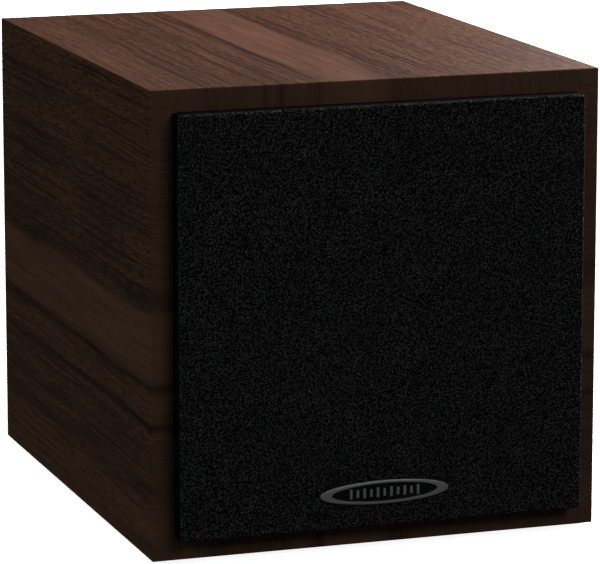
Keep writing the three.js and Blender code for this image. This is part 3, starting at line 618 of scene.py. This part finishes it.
def grille_cover():
    """The cloth, stretched over the frame's front and glued down its sides."""
    low, high = box("grille_cloth")
    half = (high.x - low.x) / 2
    glue = 0.15
    thickness = half - size("grille_frame").x / 2 - glue
    cells = 104
    edge = 1.0
    corner = 0.35
    place = middle("grille_cloth")

    def matted(x, z):
        """The face's fine unevenness, fading out towards its rim."""
        fade = min(1, (half - edge - max(abs(x), abs(z))) / 3)
        lump = noise.noise(Vector((x, z, 0)) / 2.2) + 0.6 * noise.noise(Vector((x, z, 50)) / 1.3)
        return 0.10 * fade * (0.8 + lump)

    def flat(x, z):
        return 0.0

    bm = bmesh.new()
    front = low.y
    outer_rim = cloth_face(bm, half - edge, corner, front, cells, matted)
    inner_rim = cloth_face(bm, half - edge, corner, front + thickness, cells, flat)

    def skirt(rim, profile):
        """Carries a rim out and back along (out, y) points, and returns the last row."""
        last = rim
        for out, y in profile:
            row = []
            for vert in rim:
                x, z = vert.co.x - place.x, vert.co.z - place.z
                _, way = rounded_square(x, z, half - edge, corner)
                row.append(bm.verts.new((vert.co.x + way.x * out, y, vert.co.z + way.z * out)))
            for index in range(len(rim)):
                after = (index + 1) % len(rim)
                bm.faces.new((last[index], last[after], row[after], row[index]))
            last = row
        return last

    quarter = [math.radians(angle) for angle in (15, 30, 45, 60, 75, 90)]
    bend = [(edge * math.sin(a), front + edge * (1 - math.cos(a))) for a in quarter]
    inner_edge = edge - thickness
    inner_bend = [
        (inner_edge * math.sin(a), front + thickness + inner_edge * (1 - math.cos(a)))
        for a in quarter
    ]
    hem = [front + edge + (high.y - front - edge) * share for share in (0.3, 0.6, 0.8, 1.0)]
    outer_hem = skirt(outer_rim, bend + [(edge, y) for y in hem])
    inner_hem = skirt(inner_rim, inner_bend + [(inner_edge, high.y)])
    for index in range(len(outer_hem)):
        after = (index + 1) % len(outer_hem)
        bm.faces.new((outer_hem[index], outer_hem[after], inner_hem[after], inner_hem[index]))
    made = mesh_object("grille_cover", bm, "grille_cloth", "grille", sharp=60)
    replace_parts(made, "grille_cloth")


def badge():
    """An oval satin ring round a gloss black plate, with a row of plain upright bars."""
    place = in_face("badge_ring")
    front, back = box("badge_ring")[0].y, box("badge_ring")[1].y
    ring_size, plate_size = size("badge_ring"), size("badge_inlay")
    outer_oval = oval(ring_size.x / 2, ring_size.z / 2, place)
    inner_oval = oval(plate_size.x / 2, plate_size.z / 2, place)

    def row(outline, out, y):
        return [Vector((x, y, z)) for x, z in outline(out)]

    outside = [(-0.02, back), (0, front + 0.35), (-0.12, front + 0.12), (-0.4, front)]
    inside = [(0.36, front), (0.28, front + 0.08), (0.25, front + 0.35), (0.25, back)]
    rows = [row(outer_oval, out, y) for out, y in outside]
    rows += [row(inner_oval, out, y) for out, y in inside]
    ring = mesh_object("badge_rim", loft(bmesh.new(), rows, ring=True), "badge_metal", "grille")
    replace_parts(ring, "badge_ring")

    plate_front = box("badge_inlay")[0].y
    domed = [(0, back), (0, plate_front + 0.1)]
    domed += [(-inwards, plate_front - 0.02 * inwards) for inwards in (0.3, 1.2, 2.4)]
    plate = mesh_object("badge_face", swept(inner_oval, domed), "badge_black", "grille")
    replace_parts(plate, "badge_inlay")

    bars = bmesh.new()
    count = 11
    spacing = 2.6
    half_width = 0.5
    half_tall, half_short = 1.8, 1.4
    for index in range(count):
        x = place[0] + (index - (count - 1) / 2) * spacing
        reach = half_short if index % 2 else half_tall
        low = (x - half_width, front + 0.22, place[1] - reach)
        high = (x + half_width, back - 0.1, place[1] + reach)
        joined(bars, brick(low, high, 0.1))
    mesh_object("badge_bars", bars, "badge_metal", "grille")


# ---------------------------------------------------------------- driver


DRIVER = in_face("speaker_cone")


def stretch_to_cone(piece):
    """Bakes a round piece's placement into its mesh.
    """
    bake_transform(piece)


def cone():
    """Pressed paper, slightly flared, with shallow ribs round its outer half."""
    low, high = box("speaker_cone")
    paper = 0.9
    ease_by = 0.12
    rim = (high.x - low.x) / 2
    lip = rim - 2.5
    neck = size("voice_coil_former").x / 2 + 0.4
    ribs_from, ribs_to = 24, lip - 1
    rib_pitch = 3.2
    steps = 48

    def depth(radius):
        share = max(0, (lip - radius) / (lip - neck))
        y = low.y + ease_by + (high.y - low.y - paper - 2 * ease_by) * share ** 1.15
        if ribs_from < radius < ribs_to:
            y += ease_by * math.sin(2 * math.pi * radius / rib_pitch)
        return y

    radii = [rim, lip] + [lip - (lip - neck) * (step + 1) / steps for step in range(steps)]
    front = [(radius, depth(radius)) for radius in radii]
    back = [(radius, y + paper) for radius, y in reversed(front)]
    skin = lathe(front + back, DRIVER, ring=True)
    made = mesh_object("paper_cone", skin, "cone_paper", "moving_cone")
    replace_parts(made, "speaker_cone")


def surround():
    """A rubber half-roll between the cone and the basket, with a flat lip on each side."""
    low, high = box("cone_surround")
    rubber = 0.6
    back = high.y
    front = back - rubber
    outer = (high.x - low.x) / 2
    inner = size("speaker_cone").x / 2
    inside = inner - 2.3
    edge = 0.2
    radius = front - low.y
    centre = inner + radius

    def roll(reach):
        arc = [math.pi * step / 18 for step in range(19)]
        return [(centre - reach * math.cos(angle), front - reach * math.sin(angle)) for angle in arc]

    profile = [(inside, front)] + roll(radius) + [(outer - edge, front), (outer, front + edge)]
    under = [(across, y + rubber) for across, y in roll(radius - rubber)]
    profile += [(outer, back)] + under[::-1] + [(inside, back)]
    made = mesh_object("rubber_surround", lathe(profile, DRIVER, ring=True), "rubber", None)
    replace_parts(made, "cone_surround")
    stretch_to_cone(made)


def dome():
    """The dust cap: a shallow dome of thin card."""
    low, high = box("dust_cap")
    card = 0.6
    edge = (high.x - low.x) / 2
    rise = high.y - low.y - card
    sphere = (edge ** 2 + rise ** 2) / (2 * rise)
    steps = 14

    def skin(inset):
        reach = sphere - inset
        angles = [math.asin(edge / sphere) * step / steps for step in range(steps + 1)]
        return [
            (reach * math.sin(angle), low.y + sphere - reach * math.cos(angle))
            for angle in angles
        ]

    profile = skin(0) + skin(card)[::-1]
    made = mesh_object("dome_cap", lathe(profile, DRIVER), "cone_paper", "moving_cone")
    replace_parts(made, "dust_cap")


def gasket_ring():
    """Soft foam over the surround's outer lip, eased along both edges."""
    low, high = box("driver_gasket_ring")
    width = 6.5
    ease_by = 0.35
    outer = (high.x - low.x) / 2
    inner = outer - width
    profile = [
        (outer, high.y), (outer, low.y + ease_by), (outer - ease_by, low.y),
        (inner + ease_by, low.y), (inner, low.y + ease_by), (inner, high.y),
    ]
    made = mesh_object("foam_gasket", lathe(profile, DRIVER, ring=True), "foam", "cabinet")
    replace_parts(made, "driver_gasket_ring")


def spider():
    """A corrugated cloth disc that meets the coil at its middle."""
    low, high = box("spider")
    cloth = 0.45
    outer = (high.x - low.x) / 2
    inner = size("voice_coil_former").x / 2 + 0.35
    waves_from, waves_to = inner + 2, outer - 5
    wave_pitch = 6
    centre_y = (low.y + high.y) / 2 - cloth / 2
    swing = (high.y - low.y) / 2 - cloth
    steps = 80

    def height(radius):
        if not waves_from < radius < waves_to:
            return centre_y
        return centre_y + swing * math.sin(2 * math.pi * (radius - inner) / wave_pitch)

    radii = [inner + (outer - inner) * step / steps for step in range(steps + 1)]
    front = [(radius, height(radius)) for radius in radii]
    back = [(radius, y + cloth) for radius, y in reversed(front)]
    made = mesh_object("spider_disc", lathe(front + back, DRIVER, ring=True), "spider_cloth", None)
    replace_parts(made, "spider")
    stretch_to_cone(made)


def cross_arms(place, length, width, low_y, high_y):
    """Two bars crossed at a place in X and Z, which cut a cross recess."""
    return [
        brick(
            (place[0] - across / 2, low_y, place[1] - up / 2),
            (place[0] + across / 2, high_y, place[1] + up / 2), 0,
        )
        for across, up in ((width, length), (length, width))
    ]


def cross_screw(node, facing):
    """A pan-head screw with a cross recess. facing is -1 if its head is in front, 1 if behind."""
    low, high = box(node)
    place = in_face(node)
    radius = (high.x - low.x) / 2
    top, tip = (low.y, high.y) if facing < 0 else (high.y, low.y)
    head, rim = 1.8, 0.5
    shank, thread_depth, pitch = 1.35, 0.3, 0.9
    point = 1.2
    recess = 1.1
    back = top - facing * head
    crown = [(radius, back), (radius, back + facing * rim)]
    for step in range(1, 7):
        angle = math.pi / 2 * step / 6
        rise = rim + (head - rim) * math.sin(angle)
        crown.append((radius * math.cos(angle), back + facing * rise))
    thread = [(0.3, tip), (shank, tip + facing * point)]
    for index in range(int((abs(back - tip) - point - 0.4) / pitch)):
        y = tip + facing * (point + pitch * index)
        thread += [(shank, y + facing * pitch / 2), (shank - thread_depth, y + facing * pitch)]
    body = lathe(thread + [(shank - thread_depth, back)] + crown, place, steps=28)
    arms = cross_arms(place, radius * 1.15, 0.8, top - recess, top + recess)
    made = mesh_object(f"{node}_cross", carved(body, *arms), "black_steel", body_of(node))
    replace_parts(made, node)


# ---------------------------------------------------------------- amplifier plate


def printed(name, bm):
    """White print on the amplifier plate."""
    return mesh_object(name, bm, "black_aluminium", "cabinet", "white_print")


def knob():
    """The volume knob, with a white line laid in its pointer groove."""
    eased("volume_knob", "black_plastic", 0.22)
    low, high = box("volume_knob")
    x, z = in_face("volume_knob")
    radius = (high.z - low.z) / 2
    half_width = 0.5
    sunk, deepest = 0.3, 0.75
    from_axis, from_rim = 1.2, 1.1
    low_corner = (x - half_width, high.y - deepest, z + from_axis)
    high_corner = (x + half_width, high.y - sunk, z + radius - from_rim)
    line = brick(low_corner, high_corner, 0.08)
    mesh_object("volume_pointer", line, "black_plastic", "volume_control", "white_print")


def volume_scale():
    """Ticks and the numbers 0 to 10 round the knob, clockwise to someone behind the speaker."""
    x, z = in_face("volume_knob")
    radius = size("volume_knob").x / 2
    tick_from, tick_to = radius + 1.6, radius + 3.4
    figures_at = radius + 6.0
    half_width, ink = 0.22, 0.06
    top_value = 10
    half_sweep = 150
    ticks = bmesh.new()
    for value in range(top_value + 1):
        angle = math.radians(2 * half_sweep * value / top_value - half_sweep)
        way = Vector((-math.sin(angle), 0, math.cos(angle)))
        tick = brick((-half_width, 0, tick_from), (half_width, ink, tick_to), 0)
        bmesh.ops.transform(tick, matrix=Matrix.Rotation(-angle, 4, "Y"), verts=tick.verts)
        bmesh.ops.translate(tick, vec=(x, PLATE_FACE, z), verts=tick.verts)
        joined(ticks, tick)
        if value % 5 == 0:
            figure(str(value), Vector((x, PLATE_FACE, z)) + way * figures_at)
    printed("volume_ticks", ticks)


def figure(text, place):
    """A small number printed on the plate, which reads from behind."""
    ink = 0.03
    curve = bpy.data.curves.new(f"figure_{text}", "FONT")
    curve.body = text
    curve.size = 3.2 * MM
    curve.extrude = ink * MM
    curve.align_x = "CENTER"
    curve.align_y = "CENTER"
    flat = bpy.data.objects.new("lettering", curve)
    bpy.context.collection.objects.link(flat)
    bm = bmesh.new()
    bm.from_mesh(bpy.data.meshes.new_from_object(flat))
    bpy.data.objects.remove(flat)
    facing_back = Matrix(((-1, 0, 0), (0, 0, 1), (0, 1, 0))).to_4x4()
    bmesh.ops.transform(bm, matrix=facing_back, verts=bm.verts)
    bmesh.ops.scale(bm, vec=(1 / MM, 1 / MM, 1 / MM), verts=bm.verts)
    bmesh.ops.translate(bm, vec=place + Vector((0, ink, 0)), verts=bm.verts)
    printed(f"volume_figure_{text}", bm)


FLANGE_FACE = PLATE_FACE + 1.9  # where the heads of the jack's and the inlet's screws lie


def small_screw(name, x, z):
    """A plated countersunk screw head with a cross recess, flush in a flange."""
    face = FLANGE_FACE
    profile = [
        (1.2, face - 1.2), (2.3, face - 0.1), (2.3, face), (1.6, face + 0.25), (0, face + 0.3),
    ]
    head = lathe(profile, (x, z), steps=28)
    arms = cross_arms((x, z), 2.6, 0.6, face - 0.5, face + 1)
    mesh_object(name, carved(head, *arms), "plated_steel", "cabinet")


def combination_jack():
    """The jack's three pin holes round its middle bore, each with a brass contact in it."""
    low, high = box("combo_jack")
    x, z = in_face("jack_latch_tab")[0], (low.z + high.z) / 2
    dish = PLATE_FACE + 2.3
    pins_at = 7.4
    hole, contact, bore = 1.45, 1.4, 0.95
    hole_depth, contact_depth, contact_top = 9, 8, 1.2
    holes = []
    contacts = bmesh.new()
    for angle in (150, 30, 270):
        way = math.radians(angle)
        place = (x + pins_at * math.cos(way), z + pins_at * math.sin(way))
        holes.append(lathe([(hole, dish - hole_depth), (hole, dish + 3)], place, steps=24))
        socket = [
            (contact, dish - contact_depth), (contact, dish - contact_top),
            (bore, dish - contact_top), (bore, dish - contact_depth),
        ]
        joined(contacts, lathe(socket, place, ring=True, steps=24))
    shell = carved(ease(shape_of("combo_jack"), 0.2), *holes)
    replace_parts(mesh_object("combo_jack_shell", shell, "black_plastic", "cabinet"), "combo_jack")
    mesh_object("jack_contacts", contacts, "plated_steel", "cabinet", "contact_brass")
    across = (high.x - low.x) / 2 - 3
    up = (high.z - low.z) / 2 - 3
    small_screw("jack_screw_1", x - across, z + up)
    small_screw("jack_screw_2", x + across, z - up)


def line_jack():
    """A plated barrel with a coloured insulator inside it."""
    place = in_face("line_input_jack")
    tip = box("line_input_jack")[1].y
    bore, depth = 3.3, 7
    hollow = lathe([(bore, tip - depth), (bore, tip + 1)], place, steps=48)
    shell = carved(ease(shape_of("line_input_jack"), 0.15), hollow)
    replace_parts(mesh_object("line_jack_barrel", shell, "plated_steel", "cabinet"), "line_input_jack")
    outer, inner = bore - 0.05, 1.6
    floor_y = tip - depth + 0.1
    profile = [
        (outer, floor_y), (outer, tip - 0.9), (outer - 0.35, tip - 0.6),
        (inner + 0.2, tip - 0.6), (inner, tip - 0.8), (inner, floor_y),
    ]
    insulator = lathe(profile, place, ring=True, steps=48)
    mesh_object("line_jack_insulator", insulator, "black_plastic", "cabinet", "red_nylon")


def opening(name):
    """A stated opening's lowest and highest corner, in millimetres."""
    openings = frame["record"]["physics"]["openings"]
    low, high = next(stated["box_m"] for stated in openings if stated["name"] == name)
    return Vector(low) / MM, Vector(high) / MM


def mains_inlet():
    """The inlet's housing, with three flat blades in its socket and a wedge in two corners."""
    eased("mains_inlet", "black_plastic", 0.25)
    low, high = opening("mains_socket")
    x, z = (low.x + high.x) / 2, (low.z + high.z) / 2
    half_thick, half_tall, reach = 1, 2, 4.2
    blades = bmesh.new()
    for side, lift in ((-7, -1.2), (0, 2.4), (7, -1.2)):
        low_corner = (x + side - half_thick, low.y - 0.2, z + lift - half_tall)
        high_corner = (x + side + half_thick, high.y - reach, z + lift + half_tall)
        joined(blades, brick(low_corner, high_corner, 0.35))
    mesh_object("inlet_blades", blades, "plated_steel", "cabinet")

    past_wall = 0.25
    leg = 4
    wedges = bmesh.new()
    edge_z = high.z + past_wall
    for side in (-1, 1):
        edge_x = x + side * ((high.x - low.x) / 2 + past_wall)
        corners = ((edge_x, edge_z), (edge_x, edge_z - leg), (edge_x - side * leg, edge_z))
        rows = [
            [Vector((corner_x, y, corner_z)) for corner_x, corner_z in corners]
            for y in (low.y - 0.1, high.y - 0.6)
        ]
        joined(wedges, loft(bmesh.new(), rows))
    mesh_object("inlet_wedges", wedges, "black_plastic", "cabinet")

    centre_x, centre_z = in_face("mains_inlet")
    screw_spacing = 40
    small_screw("inlet_screw_1", centre_x - screw_spacing / 2, centre_z)
    small_screw("inlet_screw_2", centre_x + screw_spacing / 2, centre_z)


def rocker():
    """The switch's rocker, with I and O in white on its two faces."""
    eased("switch_rocker", "black_plastic", 0.2)
    centre = middle("switch_rocker")
    sunk, ink = -0.2, 0.08
    reach = 1.8
    ring_bore = 1.25
    faces = [
        face for face in frame["nodes"]["switch_rocker"].data.polygons
        if face.normal.y > 0.8 and abs(face.center.x / MM - centre.x) < 3
    ]
    bar = brick((-0.3, sunk, -reach), (0.3, ink, reach), 0)
    section = [(reach, sunk), (reach, ink), (ring_bore, ink), (ring_bore, sunk)]
    ring = lathe(section, (0, 0), ring=True, steps=40)
    for name, bm, side in (("rocker_bar", bar, 1), ("rocker_ring", ring, -1)):
        own = [face for face in faces if (face.center.z / MM - centre.z) * side > 0]
        area = sum(face.area for face in own)
        place = sum((face.center * face.area for face in own), Vector()) / area / MM
        normal = sum((face.normal * face.area for face in own), Vector()).normalized()
        tilt = Vector((0, 1, 0)).rotation_difference(normal).to_matrix().to_4x4()
        bmesh.ops.transform(bm, matrix=Matrix.Translation(place) @ tilt, verts=bm.verts)
        mesh_object(name, bm, "black_plastic", "power_rocker", "white_print")


# ---------------------------------------------------------------- inside


def lining():
    """Fibre wadding, fluffed into lumps that shrink back from its neighbours."""
    least_sunk, lumps = 0.8, 1.4
    bm = shape_of("damping_wadding")
    bmesh.ops.recalc_face_normals(bm, faces=bm.faces)
    mesh = bpy.data.meshes.new("wadding_rough")
    bm.to_mesh(mesh)
    bm.free()
    rough = bpy.data.objects.new("wadding_rough", mesh)
    bpy.context.collection.objects.link(rough)
    remesh = rough.modifiers.new("even", "REMESH")
    remesh.mode = "VOXEL"
    remesh.voxel_size = 3.0
    bm = bmesh.new()
    bm.from_object(rough, bpy.context.evaluated_depsgraph_get())
    bpy.data.objects.remove(rough)
    for _ in range(3):
        bmesh.ops.smooth_vert(
            bm, verts=bm.verts, factor=0.5, use_axis_x=True, use_axis_y=True, use_axis_z=True,
        )
    bm.normal_update()
    for vert in bm.verts:
        lump = noise.noise(vert.co / 14) + 0.5 * noise.noise(vert.co / 5)
        vert.co -= vert.normal * (least_sunk + lumps * (0.5 + 0.5 * lump))
    made = mesh_object("fibre_lining", bm, "wadding", "cabinet", sharp=180)
    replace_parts(made, "damping_wadding")


EASED = {
    "rubber": ["rubber_foot_1", "rubber_foot_2", "rubber_foot_3", "rubber_foot_4"],
    "black_aluminium": ["amp_plate", "heatsink"],
    "black_plastic": ["fuse_drawer", "switch_housing"],
    "black_steel": ["driver_basket"],
    "plated_steel": [
        "jack_latch_tab", "volume_pot", "magnet_top_plate", "magnet_yoke", "magnet_shield_can",
    ],
    "ferrite": ["magnet_ring"],
    "phenolic": ["terminal_strip"],
    "capacitor_sleeve": ["capacitor_1", "capacitor_2"],
    "winding_tape": ["transformer"],
    "circuit_board": ["amp_board"],
    "light_lens": ["power_light"],
}
KEPT = {
    "black_board": ["front_baffle", "rear_panel", "grille_frame"],
    "rubber": [f"grille_socket_{index}" for index in range(1, 5)],
    "foam": ["driver_foam_seal", "amp_plate_gasket"],
    "phenolic": ["voice_coil_former"],
    "copper_wire": ["voice_coil"],
    "lead_red": ["speaker_lead_red"],
    "lead_black": ["speaker_lead_black"],
}


# ---------------------------------------------------------------- stage, light and camera


def floor():
    """A white floor to the camera, which neither lights the object nor shows in it."""
    half = 6000
    bm = bmesh.new()
    corners = ((-half, -half), (half, -half), (half, half), (-half, half))
    bm.faces.new([bm.verts.new((x * MM, y * MM, 0)) for x, y in corners])
    mesh = bpy.data.meshes.new("floor")
    bm.to_mesh(mesh)
    bm.free()
    surface = Surface("floor", Roughness=0.9, Specular_IOR_Level=0.1)
    mesh.materials.append(surface.material)
    shade = surface.grain(400)
    surface.set(Base_Color=surface.blend(surface.spread(shade, 0.3, 0.7), grey(0.93), grey(0.95)))
    surface.set(Emission_Color=grey(1.0), Emission_Strength=0.92)
    made = bpy.data.objects.new("floor", mesh)
    bpy.context.collection.objects.link(made)
    made.visible_diffuse = False
    made.visible_glossy = False


def soft_box(name, place, aim, width, height, power, tint=(1, 1, 1)):
    """A rectangular light, placed and aimed in millimetres."""
    light = bpy.data.lights.new(name, "AREA")
    light.shape = "RECTANGLE"
    light.size = width * MM
    light.size_y = height * MM
    light.energy = power
    light.color = tint
    made = bpy.data.objects.new(name, light)
    made.location = Vector(place) * MM
    made.rotation_euler = (Vector(place) - Vector(aim)).to_track_quat("Z", "Y").to_euler()
    made.visible_camera = False
    bpy.context.collection.objects.link(made)


def lights():
    """Soft light from overhead and the right, which fades over the top, and weak fills all round."""
    soft_box("overhead", (450, 600, 1800), (0, 0, 100), 1800, 1800, 9.5)
    soft_box("near_right", (400, 0, 405), (20, -20, 174), 240, 240, 3.2)
    soft_box("low_sheen", (400, 300, 330), (40, -40, 174), 350, 220, 0.5)
    soft_box("left_fill", (-1700, -300, 700), (0, 0, 90), 900, 900, 5.2, tint=(0.78, 1.0, 0.96))
    soft_box("front_fill", (550, -1800, 1250), (0, 0, 90), 900, 600, 5.0)
    soft_box("right_fill", (1700, 700, 500), (0, 0, 90), 900, 900, 4.5)
    soft_box("low_back", (500, 1500, 80), (0, 0, 80), 1000, 160, 7)


def surroundings():
    """A white backdrop to the camera, which lights the object only weakly."""
    world = bpy.data.worlds.new("surroundings")
    bpy.context.scene.world = world
    world.use_nodes = True
    tree = world.node_tree
    background = tree.nodes["Background"]
    background.inputs["Color"].default_value = (1, 1, 1, 1)
    seen = tree.nodes.new("ShaderNodeLightPath").outputs["Is Camera Ray"]
    strength = tree.nodes.new("ShaderNodeMapRange")
    tree.links.new(seen, strength.inputs["Value"])
    on_object, on_camera = 0.032, 1.0
    strength.inputs["To Min"].default_value = on_object
    strength.inputs["To Max"].default_value = on_camera
    tree.links.new(strength.outputs[0], background.inputs["Strength"])


def photo_camera():
    """Seen from the front, to the left of the middle and a little above it."""
    azimuth, elevation = math.radians(-18.96), math.radians(11.44)
    distance = 1510.6
    aim = Vector((5.5, 0, 79.6))
    back = Vector((
        math.sin(azimuth) * math.cos(elevation),
        -math.cos(azimuth) * math.cos(elevation),
        math.sin(elevation),
    ))
    lens = bpy.data.cameras.new("photo_camera")
    lens.lens = 233.15
    lens.sensor_width = 36
    lens.clip_end = 20
    made = bpy.data.objects.new("photo_camera", lens)
    made.location = (aim + back * distance) * MM
    made.rotation_euler = back.to_track_quat("Z", "Y").to_euler()
    bpy.context.collection.objects.link(made)
    bpy.context.scene.camera = made
    bpy.context.scene.view_settings.view_transform = "Standard"


# ---------------------------------------------------------------- everything together


photo_camera()
lights()
surroundings()
floor()

cabinet_wrap()
grille_cover()
badge()

cone()
surround()
dome()
gasket_ring()
spider()
lining()

knob()
volume_scale()
combination_jack()
line_jack()
mains_inlet()
rocker()

for number in range(1, 5):
    cross_screw(f"driver_screw_{number}", facing=-1)
    cross_screw(f"plate_screw_{number}", facing=1)
for slot, nodes in EASED.items():
    for node in nodes:
        eased(node, slot)
for slot, nodes in KEPT.items():
    for node in nodes:
        keep(node, slot)
